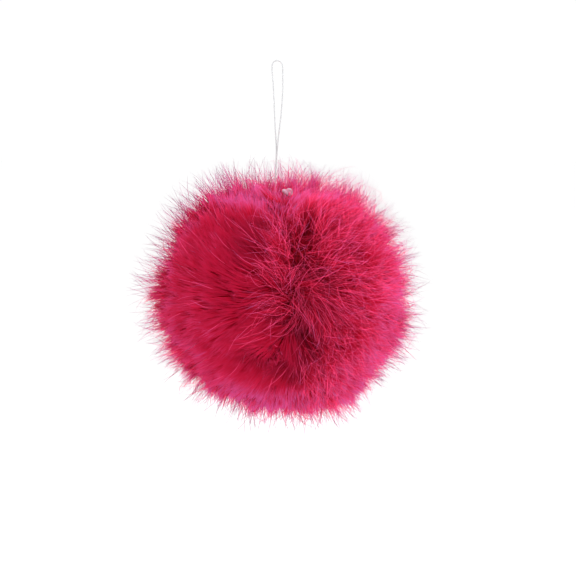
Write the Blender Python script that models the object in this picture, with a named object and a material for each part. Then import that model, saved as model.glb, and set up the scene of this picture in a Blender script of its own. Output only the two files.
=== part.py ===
"""A fur pom pom that hangs on a loop of thread.

A disc of dyed fur pelt is drawn in round its edge and closed at the top, so
that the hair stands out all round it as a soft ball. The ball is one solid
that reaches as far as the usual hair tips, with the soft lobes of the pile, the
furrow where the nap parts down its front, and the parting at the top, where
the hanging thread comes out beside the knot that closes the pelt.

Metres, +Z up, -Y to the front. The origin is at the underside of the top of
the hanging loop, where a hook or pin bears.
"""

import math
from collections import namedtuple

import bmesh
import bpy
from mathutils import Euler, Vector, noise

MM = 0.001

# ---------------------------------------------------------------------------
# Driving dimensions
# ---------------------------------------------------------------------------
BALL_WIDTH = 81.0 * MM
BALL_DEPTH = 79.5 * MM
BALL_HEIGHT = 76.0 * MM
BALL_CENTRE = Vector((1.4, 3.0, -72.4)) * MM
BALL_SUBDIVISIONS = 5

# How much the pile stands and sinks in small tufts, and their usual size.
TUFT_RISE = 1.1 * MM
TUFT_SIZE = 13.0 * MM

THREAD_DIAMETER = 0.45 * MM
THREAD_POINTS = 80

KNOT_PLACE = Vector((3.1, -0.6, -39.8)) * MM
KNOT_TILT = Euler((math.radians(52.0), 0.0, math.radians(12.0)))
KNOT_STRAND = 0.55 * MM
KNOT_LOBE = 0.46 * MM
KNOT_RISE = 0.58 * MM
KNOT_TAIL = 0.9 * MM
KNOT_GAP = math.radians(24.0)
KNOT_POINTS = 44

# ---------------------------------------------------------------------------
# Tables. Azimuth runs from the front (-Y) round to the right (+X), and
# elevation up from the level, both in degrees. Lengths are in millimetres.
# ---------------------------------------------------------------------------
Lobe = namedtuple("Lobe", "azimuth elevation rise spread")
LOBES = (
    Lobe(90, -60, 3.2, 17),    # low on the right, the fullest lobe
    Lobe(90, -38, -1.0, 14),   # the dip above it
    Lobe(-90, 48, 1.7, 20),    # shoulder, upper left
    Lobe(90, 57, 1.4, 15),     # shoulder, upper right
    Lobe(-90, -14, 1.0, 18),   # left side
    Lobe(-90, 20, -1.0, 14),   # dip under the left shoulder
    Lobe(90, 14, -0.8, 16),    # dip on the right side
    Lobe(0, -84, -0.9, 22),    # flattened underneath
    Lobe(-30, -12, 1.2, 26),   # the smooth swell left of the furrow
    Lobe(50, 12, 0.9, 22),     # the swell right of the furrow
    Lobe(180, 12, 1.1, 26),    # back
    Lobe(-140, -36, 1.5, 20),  # back, low left
    Lobe(140, 38, 1.2, 20),    # back, upper right
    Lobe(150, -22, -1.0, 18),  # back, dip on the right
)

Station = namedtuple("Station", "azimuth elevation depth half_width")
FURROW = (
    Station(8, 44, 0.6, 3.5),
    Station(12, 27, 4.2, 5.0),
    Station(12, 10, 3.4, 5.0),
    Station(11, -8, 3.2, 5.0),
    Station(11, -22, 1.8, 5.0),
    Station(8, -36, 0.4, 4.0),
)
SIDE_DIMPLE = (
    Station(-12, 36, 0.8, 3.5),
    Station(-9, 28, 2.0, 3.5),
)
FURROW_SHARPNESS = 2
PARTING_DEPTH = 7.6 * MM
PARTING_HALF_WIDTH = 5.0 * MM
PARTING_SHARPNESS = 4

# The thread's two strands, from where they leave the fur up to the loop.
Place = namedtuple("Place", "x y z")
LEFT_STRAND = (
    Place(-0.74, 0.36, -42.1),
    Place(-0.59, 0.36, -36.3),
    Place(-0.41, 0.34, -31.9),
    Place(-0.28, 0.30, -28.4),
    Place(-0.33, 0.24, -25.4),
    Place(-0.63, 0.12, -20.2),
    Place(-0.91, 0.04, -13.6),
    Place(-1.19, 0.00, -7.6),
    Place(-1.60, 0.00, -2.2),
)
LOOP_TOP = (
    Place(-1.24, 0.00, -0.46),
    Place(0.00, 0.00, 0.225),
    Place(1.24, 0.00, -0.46),
)
RIGHT_STRAND = (
    Place(1.64, 0.00, -2.2),
    Place(1.60, 0.00, -10.4),
    Place(1.03, -0.06, -17.4),
    Place(0.34, -0.16, -23.0),
    Place(-0.05, -0.28, -27.4),
    Place(-0.41, -0.34, -31.9),
    Place(-0.59, -0.36, -36.3),
    Place(-0.74, -0.36, -42.1),
)

FUR_COLOUR = (0.50, 0.012, 0.075, 1.0)
THREAD_COLOUR = (0.86, 0.86, 0.86, 1.0)


# ---------------------------------------------------------------------------
# Shape of the fur
# ---------------------------------------------------------------------------
def direction(azimuth, elevation):
    """Unit vector from the ball's centre at an azimuth and elevation in degrees."""
    turn = math.radians(azimuth)
    climb = math.radians(elevation)
    return Vector((
        math.sin(turn) * math.cos(climb),
        -math.cos(turn) * math.cos(climb),
        math.sin(climb),
    ))


def oval_reach(way):
    """Distance from the centre to the plain oval ball along a unit vector."""
    across = way.x / (BALL_WIDTH / 2)
    deep = way.y / (BALL_DEPTH / 2)
    high = way.z / (BALL_HEIGHT / 2)
    return 1.0 / math.sqrt(across ** 2 + deep ** 2 + high ** 2)


def lobe_rise(way):
    """How far the soft lobes lift the hair tips along a unit vector."""
    total = 0.0
    for lobe in LOBES:
        turned = way.angle(direction(lobe.azimuth, lobe.elevation))
        total += lobe.rise * MM * math.exp(-(turned / math.radians(lobe.spread)) ** 2)
    return total


def trough_depth(way, stations, sharpness):
    """Depth at a unit vector of a trough that runs through a row of stations.

    Each station is a unit vector, a depth and a half width. Between two of them
    the depth and the width change evenly.
    """
    reach = oval_reach(way)
    deepest = 0.0
    for (start, start_depth, start_width), (end, end_depth, end_width) in zip(stations, stations[1:]):
        run = end - start
        along = (way - start).dot(run) / run.length_squared
        along = min(max(along, 0.0), 1.0)
        aside = (way - start - run * along).length * reach
        depth = start_depth + (end_depth - start_depth) * along
        width = start_width + (end_width - start_width) * along
        deepest = max(deepest, depth * math.exp(-(aside / width) ** sharpness))
    return deepest


def stations_of(table):
    """Turns a table of stations into unit vectors, depths and widths in metres."""
    return [
        (direction(row.azimuth, row.elevation), row.depth * MM, row.half_width * MM)
        for row in table
    ]


def parting_stations():
    """The parting's two ends: under the thread and under the knot."""
    thread_end = Vector(LEFT_STRAND[0]) * MM
    return [
        ((place - BALL_CENTRE).normalized(), PARTING_DEPTH, PARTING_HALF_WIDTH)
        for place in (thread_end, KNOT_PLACE)
    ]


def fur_reach(way, furrow, dimple, parting):
    """Distance from the ball's centre to the usual hair tips along a unit vector."""
    reach = oval_reach(way) + lobe_rise(way)
    reach += TUFT_RISE * noise.noise(way * (BALL_WIDTH / 2 / TUFT_SIZE))
    reach -= trough_depth(way, furrow, FURROW_SHARPNESS)
    reach -= trough_depth(way, dimple, FURROW_SHARPNESS)
    reach -= trough_depth(way, parting, PARTING_SHARPNESS)
    return reach


# ---------------------------------------------------------------------------
# Shape of the thread
# ---------------------------------------------------------------------------
def between(before, start, end, after, share):
    """A point on the Catmull-Rom curve from start to end, at a share of the way."""
    squared = share * share
    cubed = squared * share
    return 0.5 * (
        2.0 * start
        + (end - before) * share
        + (2.0 * before - 5.0 * start + 4.0 * end - after) * squared
        + (3.0 * start - before - 3.0 * end + after) * cubed
    )


def smooth_points(places, steps=24):
    """Closely spaced points on a smooth curve through a list of places."""
    padded = [2.0 * places[0] - places[1], *places, 2.0 * places[-1] - places[-2]]
    points = []
    for before, start, end, after in zip(padded, padded[1:], padded[2:], padded[3:]):
        points += [between(before, start, end, after, step / steps) for step in range(steps)]
    return points + [places[-1]]


def evenly_spaced(points, count):
    """Reads a number of points off a fine line, at even distances along it."""
    lengths = [0.0]
    for start, end in zip(points, points[1:]):
        lengths.append(lengths[-1] + (end - start).length)
    spaced = []
    index = 0
    for step in range(count):
        wanted = lengths[-1] * step / (count - 1)
        while index < len(points) - 2 and lengths[index + 1] < wanted:
            index += 1
        share = (wanted - lengths[index]) / (lengths[index + 1] - lengths[index])
        spaced.append(points[index].lerp(points[index + 1], share))
    return spaced


def thread_route():
    """The thread's centre line: up the left strand, round the loop, down the right."""
    places = [Vector(place) * MM for place in LEFT_STRAND + LOOP_TOP + RIGHT_STRAND]
    return evenly_spaced(smooth_points(places), THREAD_POINTS)


def knot_route():
    """The closing knot's centre line: an overhand knot with two short ends."""
    start = math.pi + KNOT_GAP
    sweep = math.tau - 2.0 * KNOT_GAP
    points = []
    for step in range(KNOT_POINTS):
        turn = start + sweep * step / (KNOT_POINTS - 1)
        points.append(Vector((
            KNOT_LOBE * (math.sin(turn) + 2.0 * math.sin(2.0 * turn)),
            KNOT_LOBE * (math.cos(turn) - 2.0 * math.cos(2.0 * turn)),
            -KNOT_RISE * math.sin(3.0 * turn),
        )))
    for end, before, place in ((0, 1, 0), (-1, -2, KNOT_POINTS + 1)):
        outward = Vector((points[end].x, points[end].y, 0.0)).normalized()
        onward = (points[end] - points[before]).normalized()
        tail = points[end] + (outward + onward).normalized() * KNOT_TAIL
        points.insert(place, tail)
    return points


# ---------------------------------------------------------------------------
# Objects
# ---------------------------------------------------------------------------
def clear_scene():
    """Removes every object that the file starts with."""
    for item in list(bpy.data.objects):
        bpy.data.objects.remove(item, do_unlink=True)


def make_material(name, colour, roughness):
    """A plain, non-metallic material of one colour."""
    material = bpy.data.materials.new(name)
    material.use_nodes = True
    shader = material.node_tree.nodes["Principled BSDF"]
    shader.inputs["Base Color"].default_value = colour
    shader.inputs["Roughness"].default_value = roughness
    shader.inputs["Metallic"].default_value = 0.0
    return material


def add_object(name, data, collection, parent, material):
    """Adds a named object to the pom pom, under its parent."""
    item = bpy.data.objects.new(name, data)
    data.materials.append(material)
    item.parent = parent
    collection.objects.link(item)
    return item


def add_fur_ball(collection, parent):
    """The ball of fur, out to the usual hair tips."""
    furrow = stations_of(FURROW)
    dimple = stations_of(SIDE_DIMPLE)
    parting = parting_stations()
    shape = bmesh.new()
    bmesh.ops.create_icosphere(shape, subdivisions=BALL_SUBDIVISIONS, radius=1.0)
    for vertex in shape.verts:
        way = vertex.co.normalized()
        vertex.co = way * fur_reach(way, furrow, dimple, parting)
    mesh = bpy.data.meshes.new("fur_ball")
    shape.to_mesh(mesh)
    shape.free()
    mesh.shade_smooth()
    material = make_material("dyed_fur", FUR_COLOUR, 0.8)
    ball = add_object("fur_ball", mesh, collection, parent, material)
    ball.location = BALL_CENTRE
    return ball


def add_cord(name, points, diameter, collection, parent, material):
    """A round cord with closed ends along a list of points."""
    curve = bpy.data.curves.new(name, "CURVE")
    curve.dimensions = "3D"
    curve.bevel_depth = diameter / 2
    curve.bevel_resolution = 2
    curve.use_fill_caps = True
    spline = curve.splines.new("POLY")
    spline.points.add(len(points) - 1)
    for point, place in zip(spline.points, points):
        point.co = (*place, 1.0)
    return add_object(name, curve, collection, parent, material)


def main():
    """Builds the fur ball, the hanging thread and the closing knot."""
    clear_scene()
    collection = bpy.data.collections.new("fur_pom_pom")
    bpy.context.scene.collection.children.link(collection)
    hang_point = bpy.data.objects.new("hang_point", None)
    collection.objects.link(hang_point)
    white_thread = make_material("white_thread", THREAD_COLOUR, 0.6)

    add_fur_ball(collection, hang_point)
    add_cord("hanging_thread", thread_route(), THREAD_DIAMETER, collection, hang_point, white_thread)
    knot = add_cord("closing_knot", knot_route(), KNOT_STRAND, collection, hang_point, white_thread)
    knot.location = KNOT_PLACE
    knot.rotation_euler = KNOT_TILT


main()
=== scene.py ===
"""Looks of a fur pom pom on a hanging thread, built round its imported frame.

The ball is grown as real fur: a dark pelt inside, and over it coats of fine
underfur, silky locks and long guard hair, each hair a tapered strand of its
own, combed away from the furrow and gathered in tufts. The thread and the knot
are twisted from plies.

Metres, +Z up, -Y to the front, as in the frame. Places on the ball are given
as an azimuth from the front to the right and an elevation, both in degrees.
"""

import logging
import math
from dataclasses import dataclass, field
from enum import Enum
from typing import Optional

import bpy
import numpy as np
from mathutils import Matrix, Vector
from mathutils.bvhtree import BVHTree


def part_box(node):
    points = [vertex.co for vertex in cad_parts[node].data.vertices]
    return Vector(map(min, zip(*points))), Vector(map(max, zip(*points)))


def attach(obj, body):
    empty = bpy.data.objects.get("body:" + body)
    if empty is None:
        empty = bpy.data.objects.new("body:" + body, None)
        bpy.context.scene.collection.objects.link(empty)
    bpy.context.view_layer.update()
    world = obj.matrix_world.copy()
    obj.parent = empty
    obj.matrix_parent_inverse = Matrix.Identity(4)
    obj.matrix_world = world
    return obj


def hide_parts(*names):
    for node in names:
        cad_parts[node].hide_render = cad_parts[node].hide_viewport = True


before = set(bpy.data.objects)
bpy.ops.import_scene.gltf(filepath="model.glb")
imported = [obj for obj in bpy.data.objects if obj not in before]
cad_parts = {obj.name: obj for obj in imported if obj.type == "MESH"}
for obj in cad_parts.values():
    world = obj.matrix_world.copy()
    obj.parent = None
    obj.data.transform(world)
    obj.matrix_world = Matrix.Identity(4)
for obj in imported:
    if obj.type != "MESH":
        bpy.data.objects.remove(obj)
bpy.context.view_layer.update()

MM = 0.001
TINY = 1e-12
UP = np.array((0.0, 0.0, 1.0))
GOLDEN_ANGLE = math.pi * (3.0 - math.sqrt(5.0))
BAKE_MAP = "OFBake"
HAIR_UV_WIDTH = 0.006

log = logging.getLogger("fur_pom_pom")


# ---------------------------------------------------------------------------
# Small mathematics
# ---------------------------------------------------------------------------
def unit(vectors: np.ndarray) -> np.ndarray:
    """Vectors scaled to a length of one."""
    length = np.linalg.norm(vectors, axis=-1, keepdims=True)
    return vectors / np.maximum(length, TINY)


def dot(left: np.ndarray, right: np.ndarray) -> np.ndarray:
    """Row by row dot product, kept as a column."""
    return np.sum(left * right, axis=-1, keepdims=True)


def across(vectors: np.ndarray, ways: np.ndarray) -> np.ndarray:
    """The part of each vector that lies in the surface at a unit direction."""
    return vectors - ways * dot(vectors, ways)


def smooth_step(low: float, high: float, values: np.ndarray) -> np.ndarray:
    """A soft step from 0 at low to 1 at high."""
    share = np.clip((values - low) / (high - low), 0.0, 1.0)
    return share * share * (3.0 - 2.0 * share)


def bell(gap: np.ndarray, spread: float) -> np.ndarray:
    """1 where there is no gap, and softly less over a spread."""
    return np.exp(-(gap / spread) ** 2)


def angle_to(ways: np.ndarray, others: np.ndarray) -> np.ndarray:
    """Angles in radians between unit vectors and one other, or one other each."""
    return np.arccos(np.clip(np.sum(ways * others, axis=1), -1.0, 1.0))


def spacing_of(count: int) -> float:
    """The usual angle between neighbours among evenly spread directions."""
    return math.sqrt(4.0 * math.pi / count)


def direction(azimuth: float, elevation: float) -> np.ndarray:
    """Unit vector at an azimuth from the front to the right, and an elevation.

    Args:
        azimuth: Degrees from -Y towards +X.
        elevation: Degrees above the level.

    Returns:
        The unit vector.
    """
    turn = math.radians(azimuth)
    climb = math.radians(elevation)
    level = math.cos(climb)
    return np.array((math.sin(turn) * level, -math.cos(turn) * level, math.sin(climb)))


def even_directions(count: int, rng: np.random.Generator, jitter: float) -> np.ndarray:
    """Directions spread evenly over a sphere, each moved a little at random.

    Args:
        count: How many directions.
        rng: Where the random moves come from.
        jitter: How far a direction may move, in spacings.

    Returns:
        An array of count unit vectors.
    """
    index = np.arange(count) + 0.5
    height = 1.0 - 2.0 * index / count
    turn = index * GOLDEN_ANGLE
    level = np.sqrt(1.0 - height ** 2)
    ways = np.stack((level * np.cos(turn), level * np.sin(turn), height), axis=1)
    return unit(ways + rng.normal(0.0, jitter * spacing_of(count), ways.shape))


def nearest(ways: np.ndarray, centres: np.ndarray, batch: int = 6000) -> np.ndarray:
    """Finds which of some centres lies nearest to each unit vector.

    Args:
        ways: The unit vectors.
        centres: Unit vectors to choose from.
        batch: How many are compared at once, to save memory.

    Returns:
        The index of the nearest centre for each vector.
    """
    found = np.empty(len(ways), dtype=np.int64)
    for start in range(0, len(ways), batch):
        part = slice(start, start + batch)
        found[part] = np.argmax(ways[part] @ centres.T, axis=1)
    return found


@dataclass(frozen=True)
class Ripple:
    """A smooth random field over directions, a sum of slow waves."""

    seed: int
    frequency: float
    width: int = 1
    waves: int = 24
    slowest: float = 0.5
    fastest: float = 1.5

    def __call__(self, ways: np.ndarray) -> np.ndarray:
        """Reads the field.

        Args:
            ways: Unit vectors.

        Returns:
            Values of about -1 to 1, in width columns, one row for each vector.
        """
        rng = np.random.default_rng(self.seed)
        axes = unit(rng.normal(size=(self.waves, 3)))
        speed = self.frequency * rng.uniform(self.slowest, self.fastest, self.waves)
        phase = rng.uniform(0.0, math.tau, (self.waves, self.width))
        total = np.zeros((len(ways), self.width))
        for axis, rate, start in zip(axes, speed, phase):
            total += np.sin((ways @ axis)[:, None] * rate + start)
        return total / math.sqrt(self.waves)


@dataclass(frozen=True)
class Growth:
    """A value that starts at one level and grows with a share."""

    start: float
    added: float = 1.0

    def at(self, share: np.ndarray) -> np.ndarray:
        """The value at a share from 0 to 1."""
        return self.start + self.added * share


# ---------------------------------------------------------------------------
# Node trees
# ---------------------------------------------------------------------------
class Graph:
    """A node tree under construction."""

    def __init__(self, tree: bpy.types.NodeTree) -> None:
        """Starts with the tree's nodes removed."""
        self.tree = tree
        tree.nodes.clear()

    def add(self, kind: str, settings: Optional[dict] = None, **inputs: object) -> bpy.types.Node:
        """Adds a node, sets its properties and feeds its inputs.

        Args:
            kind: The node's type, without the leading ShaderNode.
            settings: Properties of the node.
            **inputs: Values or sockets by input name, with _ for a space, or
                by place as i0, i1 and so on.

        Returns:
            The new node.
        """
        node = self.tree.nodes.new(kind if kind.startswith("Node") else "ShaderNode" + kind)
        for name, value in (settings or {}).items():
            setattr(node, name, value)
        for name, value in inputs.items():
            place = int(name[1:]) if name[0] == "i" and name[1:].isdigit() else name.replace("_", " ")
            self.feed(node.inputs[place], value)
        return node

    def feed(self, socket: bpy.types.NodeSocket, value: object) -> None:
        """Links a socket to an input, or sets the input's own value.

        Args:
            socket: The input.
            value: A socket to link, or a plain value to set.
        """
        if isinstance(value, bpy.types.NodeSocket):
            self.tree.links.new(value, socket)
        else:
            socket.default_value = value

    def math(self, operation: str, *values: object) -> bpy.types.NodeSocket:
        """Adds a Math node, and returns its result."""
        inputs = {f"i{place}": value for place, value in enumerate(values)}
        return self.add("Math", {"operation": operation}, **inputs).outputs[0]

    def ramp(
        self, value: object, low: object, high: object, start: float, end: float
    ) -> bpy.types.NodeSocket:
        """Maps low to high onto start to end, softly and without passing them."""
        settings = {"interpolation_type": "SMOOTHSTEP", "clamp": True}
        return self.add("MapRange", settings, i0=value, i1=low, i2=high, i3=start, i4=end).outputs[0]

    def blend(
        self, share: object, first: object, second: object, how: str = "MIX"
    ) -> bpy.types.NodeSocket:
        """Mixes two colours.

        Args:
            share: How much of the second colour goes in, from 0 to 1.
            first: The first colour.
            second: The second colour.
            how: The kind of mixture, in Blender's words.

        Returns:
            The mixture's socket.
        """
        node = self.add("Mix", {"data_type": "RGBA", "blend_type": how, "clamp_factor": True})
        self.feed(node.inputs[0], share)
        self.feed(node.inputs[6], first)
        self.feed(node.inputs[7], second)
        return node.outputs[2]


def new_group(name: str, inputs: dict, outputs: dict) -> tuple:
    """Starts a shader node group with named inputs and outputs.

    Args:
        name: The group's name.
        inputs: Socket types by name, such as NodeSocketFloat.
        outputs: Socket types by name.

    Returns:
        The group, its graph, its input node's sockets and its output node.
    """
    group = bpy.data.node_groups.new(name, "ShaderNodeTree")
    for socket, kind in inputs.items():
        group.interface.new_socket(socket, in_out="INPUT", socket_type=kind)
    for socket, kind in outputs.items():
        group.interface.new_socket(socket, in_out="OUTPUT", socket_type=kind)
    graph = Graph(group)
    return group, graph, graph.add("NodeGroupInput").outputs, graph.add("NodeGroupOutput")


@dataclass(frozen=True)
class HairTint:
    """A hair's colour along it: darker at the root with painted shade for the depth of the fur, full
    in the middle, and pink at the tip where a high shade brings painted rim light.
    """

    full_at: float = 0.62
    pink_start: float = 0.5
    pink_run: float = 0.35
    pink_least: float = 0.08
    streaks_across: float = 170.0
    streaks_along: float = 2.2
    streak_detail: float = 2.0
    streak_range: tuple = (0.3, 0.7)
    roughness: tuple = (0.45, 0.7)

    def group(self) -> bpy.types.NodeTree:
        """Builds the group.

        Returns:
            A group that takes a hair's shade and the place along it, and gives
            its colour and roughness.
        """
        number, colour = "NodeSocketFloat", "NodeSocketColor"
        group, graph, given, result = new_group(
            "hair_tint",
            {"Shade": number, "Along": number, "Streaks": number, "Darkest": number,
             "Lightest": number, "Pink From": number,
             "Root Colour": colour, "Body Colour": colour, "Tip Colour": colour},
            {"Colour": colour, "Roughness": number},
        )
        # Root colour to body colour: painted shade deep in the fur.
        lower = graph.ramp(given["Along"], 0.0, self.full_at, 0.0, 1.0)
        pink_full = graph.math("ADD", given["Pink From"], self.pink_run)
        # Tip colour where the shade is high: painted rim light.
        upper = graph.math(
            "MULTIPLY",
            graph.ramp(given["Along"], self.pink_start, 1.0, 0.0, 1.0),
            graph.ramp(given["Shade"], given["Pink From"], pink_full, self.pink_least, 1.0),
        )
        dyed = graph.blend(lower, given["Root Colour"], given["Body Colour"])
        dyed = graph.blend(upper, dyed, given["Tip Colour"])
        place = graph.add(
            "CombineXYZ",
            X=graph.math("MULTIPLY", given["Shade"], self.streaks_across),
            Y=graph.math("MULTIPLY", given["Along"], self.streaks_along),
        )
        streak = graph.add(
            "TexNoise", {"noise_dimensions": "2D"},
            Vector=place.outputs[0], Scale=1.0, Detail=self.streak_detail,
        )
        off_middle = graph.math("SUBTRACT", streak.outputs["Fac"], 0.5)
        swing = graph.math("MULTIPLY", off_middle, given["Streaks"])
        # Brightness follows the shade, which carries random tone, painted shade and painted rim
        # light.
        level = graph.ramp(given["Shade"], 0.0, 1.0, given["Darkest"], given["Lightest"])
        light = graph.math("ADD", level, swing)
        paint = graph.add("CombineColor", Red=light, Green=light, Blue=light)
        rough = graph.ramp(streak.outputs["Fac"], *self.streak_range, *self.roughness)
        graph.feed(result.inputs["Colour"], graph.blend(1.0, dyed, paint.outputs[0], "MULTIPLY"))
        graph.feed(result.inputs["Roughness"], rough)
        return group


@dataclass(frozen=True)
class PlyFibres:
    """The fine fibres along the plies of a twisted thread, with painted pink light from the fur at
    its ends.
    """

    fibres_round: float = 26.0
    fibres_along: float = 60.0
    detail: float = 3.0
    fibre_range: tuple = (0.3, 0.7)
    fur_bounce_run: float = 0.06
    roughness: tuple = (0.65, 0.45)

    def group(self) -> bpy.types.NodeTree:
        """Builds the group.

        Returns:
            A group that takes a place round and along the thread, and gives
            the fibres' colour, roughness and height.
        """
        number, colour = "NodeSocketFloat", "NodeSocketColor"
        group, graph, given, result = new_group(
            "ply_fibres",
            {"Round": number, "Along": number, "Stained From": number,
             "Light Colour": colour, "Shaded Colour": colour, "Stain Colour": colour},
            {"Colour": colour, "Roughness": number, "Height": number},
        )
        place = graph.add(
            "CombineXYZ",
            X=graph.math("MULTIPLY", given["Round"], self.fibres_round),
            Y=graph.math("MULTIPLY", given["Along"], self.fibres_along),
        )
        fibre = graph.add(
            "TexNoise", {"noise_dimensions": "2D"},
            Vector=place.outputs[0], Scale=1.0, Detail=self.detail,
        )
        share = graph.ramp(fibre.outputs["Fac"], *self.fibre_range, 0.0, 1.0)
        # Towards both ends the colour turns to painted pink light bounced from the fur.
        from_middle = graph.math("ABSOLUTE", graph.math("SUBTRACT", given["Along"], 0.5))
        fur_bounce_full = graph.math("ADD", given["Stained From"], self.fur_bounce_run)
        stain = graph.ramp(from_middle, given["Stained From"], fur_bounce_full, 0.0, 1.0)
        plain = graph.blend(share, given["Shaded Colour"], given["Light Colour"])
        rough = graph.ramp(fibre.outputs["Fac"], *self.fibre_range, *self.roughness)
        graph.feed(result.inputs["Colour"], graph.blend(stain, plain, given["Stain Colour"]))
        graph.feed(result.inputs["Roughness"], rough)
        graph.feed(result.inputs["Height"], fibre.outputs["Fac"])
        return group


# ---------------------------------------------------------------------------
# Finishes
# ---------------------------------------------------------------------------
Colour = tuple[float, float, float, float]


def start_material(name: str) -> tuple[bpy.types.Material, Graph]:
    """Starts a node material.

    Args:
        name: The material's name.

    Returns:
        The empty material and its graph.
    """
    material = bpy.data.materials.new(name)
    material.use_nodes = True
    return material, Graph(material.node_tree)


@dataclass(frozen=True)
class HairFinish:
    """Dyed hair, one colour scheme for a coat: its darker root colour is painted shade, and its tip
    colour comes in with painted rim light.
    """

    name: str
    root: Colour
    body: Colour
    tip: Colour
    darkest: float = 0.85
    lightest: float = 1.1
    streaks: float = 0.2
    pink_from: float = 0.4
    gloss: float = 0.02
    sheen: float = 0.30
    sheen_roughness: float = 0.14
    sheen_tint: Colour = (1.0, 0.35, 0.62, 1.0)
    see_through: float = 0.38

    def make(self, tint: bpy.types.NodeTree) -> bpy.types.Material:
        """Makes the material, with its colour read along each hair.

        Args:
            tint: The hair tint group.

        Returns:
            The material.
        """
        material, graph = start_material(self.name)
        place = graph.add("UVMap", {"uv_map": BAKE_MAP})
        split = graph.add("SeparateXYZ", Vector=place.outputs[0])
        dye = graph.add(
            "Group", {"node_tree": tint},
            Shade=split.outputs["X"], Along=split.outputs["Y"], Streaks=self.streaks,
            Darkest=self.darkest, Lightest=self.lightest, Pink_From=self.pink_from,
            Root_Colour=self.root, Body_Colour=self.body, Tip_Colour=self.tip,
        )
        shader = graph.add(
            "BsdfPrincipled",
            Base_Color=dye.outputs["Colour"], Roughness=dye.outputs["Roughness"],
        )
        shader.inputs["Specular IOR Level"].default_value = self.gloss
        shader.inputs["Sheen Weight"].default_value = self.sheen
        shader.inputs["Sheen Roughness"].default_value = self.sheen_roughness
        shader.inputs["Sheen Tint"].default_value = self.sheen_tint
        glow = graph.add("BsdfTranslucent", Color=dye.outputs["Colour"])
        hair = graph.add(
            "MixShader", i0=self.see_through, i1=shader.outputs[0], i2=glow.outputs[0]
        )
        graph.add("OutputMaterial", Surface=hair.outputs[0])
        return material


@dataclass(frozen=True)
class PeltFinish:
    """The dense felt of hair roots deep inside the ball."""

    name: str = "pelt"
    deep: Colour = (0.16, 0.0010, 0.006, 1.0)
    light: Colour = (0.30, 0.0015, 0.012, 1.0)
    felt_scale: float = 900.0
    felt_detail: float = 4.0
    colour_range: tuple = (0.35, 0.7)
    rough_range: tuple = (0.3, 0.7)
    roughness: tuple = (0.95, 0.75)
    bump_strength: float = 0.6
    bump_height: float = 0.6 * MM
    gloss: float = 0.1

    def make(self) -> bpy.types.Material:
        """Makes the material from the object's own coordinates.

        Returns:
            The material.
        """
        material, graph = start_material(self.name)
        place = graph.add("TexCoord").outputs["Object"]
        felt = graph.add("TexNoise", Vector=place, Scale=self.felt_scale, Detail=self.felt_detail)
        share = graph.ramp(felt.outputs["Fac"], *self.colour_range, 0.0, 1.0)
        bump = graph.add(
            "Bump",
            Height=felt.outputs["Fac"], Strength=self.bump_strength, Distance=self.bump_height,
        )
        shader = graph.add(
            "BsdfPrincipled",
            Base_Color=graph.blend(share, self.deep, self.light),
            Roughness=graph.ramp(felt.outputs["Fac"], *self.rough_range, *self.roughness),
            Normal=bump.outputs[0],
        )
        shader.inputs["Specular IOR Level"].default_value = self.gloss
        graph.add("OutputMaterial", Surface=shader.outputs[0])
        return material


@dataclass(frozen=True)
class ThreadFinish:
    """White twisted thread."""

    name: str = "white_thread"
    light: Colour = (0.54, 0.54, 0.55, 1.0)
    shaded: Colour = (0.46, 0.46, 0.47, 1.0)
    # Pink light bounced from the fur, painted on both ends of the thread where they leave the fur.
    stain: Colour = (0.62, 0.10, 0.24, 1.0)
    stained_from: float = 0.40
    bump_strength: float = 0.5
    bump_height: float = 0.02 * MM
    sheen: float = 0.2
    gloss: float = 0.2

    def make(self, fibres: bpy.types.NodeTree) -> bpy.types.Material:
        """Makes the material.

        Args:
            fibres: The ply fibre group.

        Returns:
            The material.
        """
        material, graph = start_material(self.name)
        place = graph.add("UVMap", {"uv_map": BAKE_MAP})
        split = graph.add("SeparateXYZ", Vector=place.outputs[0])
        ply = graph.add(
            "Group", {"node_tree": fibres},
            Round=split.outputs["X"], Along=split.outputs["Y"],
            Light_Colour=self.light, Shaded_Colour=self.shaded,
            Stain_Colour=self.stain, Stained_From=self.stained_from,
        )
        bump = graph.add(
            "Bump",
            Height=ply.outputs["Height"], Strength=self.bump_strength, Distance=self.bump_height,
        )
        shader = graph.add(
            "BsdfPrincipled",
            Base_Color=ply.outputs["Colour"], Roughness=ply.outputs["Roughness"],
            Normal=bump.outputs[0],
        )
        shader.inputs["Sheen Weight"].default_value = self.sheen
        shader.inputs["Specular IOR Level"].default_value = self.gloss
        graph.add("OutputMaterial", Surface=shader.outputs[0])
        return material


@dataclass(frozen=True)
class FloorFinish:
    """A plain, nearly white studio floor."""

    name: str = "studio_floor"
    colour: Colour = (0.93, 0.93, 0.93, 1.0)
    glow: float = 0.4
    roughness: float = 0.9
    gloss: float = 0.1

    def make(self) -> bpy.types.Material:
        """Makes the material.

        Returns:
            The material.
        """
        material, graph = start_material(self.name)
        shader = graph.add("BsdfPrincipled", Base_Color=self.colour, Roughness=self.roughness)
        shader.inputs["Emission Color"].default_value = self.colour
        shader.inputs["Emission Strength"].default_value = self.glow
        shader.inputs["Specular IOR Level"].default_value = self.gloss
        graph.add("OutputMaterial", Surface=shader.outputs[0])
        return material


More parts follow.
